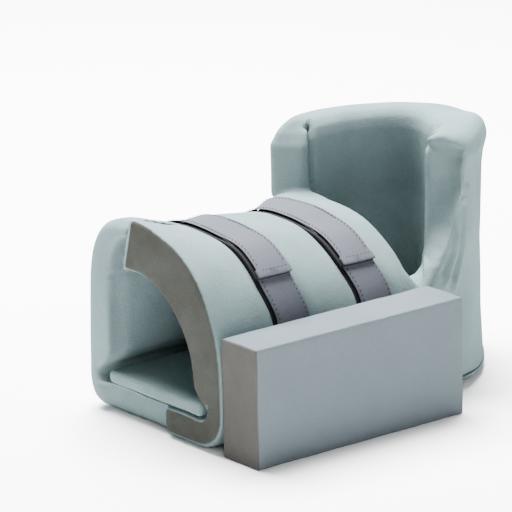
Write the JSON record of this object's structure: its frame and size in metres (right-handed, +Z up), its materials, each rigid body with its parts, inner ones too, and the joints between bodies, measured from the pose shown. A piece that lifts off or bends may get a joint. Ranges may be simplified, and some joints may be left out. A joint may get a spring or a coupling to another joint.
{
  "type": "heel suspension boot",
  "caption": "Foam boot that lifts the heel off the bed: padded leg trough with strapped flap, high wall round the foot, and a foam block against rolling.",
  "frame": {"origin": "on the floor, at the middle of the whole object's bounding box", "axes": "+X along the boot from its knee end to its foot end, +Z up, the foam block on the -Y side"},
  "size_m": [0.4092, 0.2704, 0.251],
  "materials": {
    "foam": "pale grey-green closed-cell foam with a fine grain, matt",
    "block_foam": "pale grey firm foam, cut faces, matt",
    "strap_cloth": "grey-lavender brushed loop cloth with a near-black backing, stitched"
  },
  "bodies": {
    "root": {"leg_wrap": "foam", "foot_wall": "foam", "sole_pad": "foam", "elevation_pad": "foam", "rotation_block": "block_foam", "knee_strap_lower": "strap_cloth", "knee_strap_upper": "strap_cloth", "ankle_strap_lower": "strap_cloth", "ankle_strap_upper": "strap_cloth"}
  },
  "joints": []
}
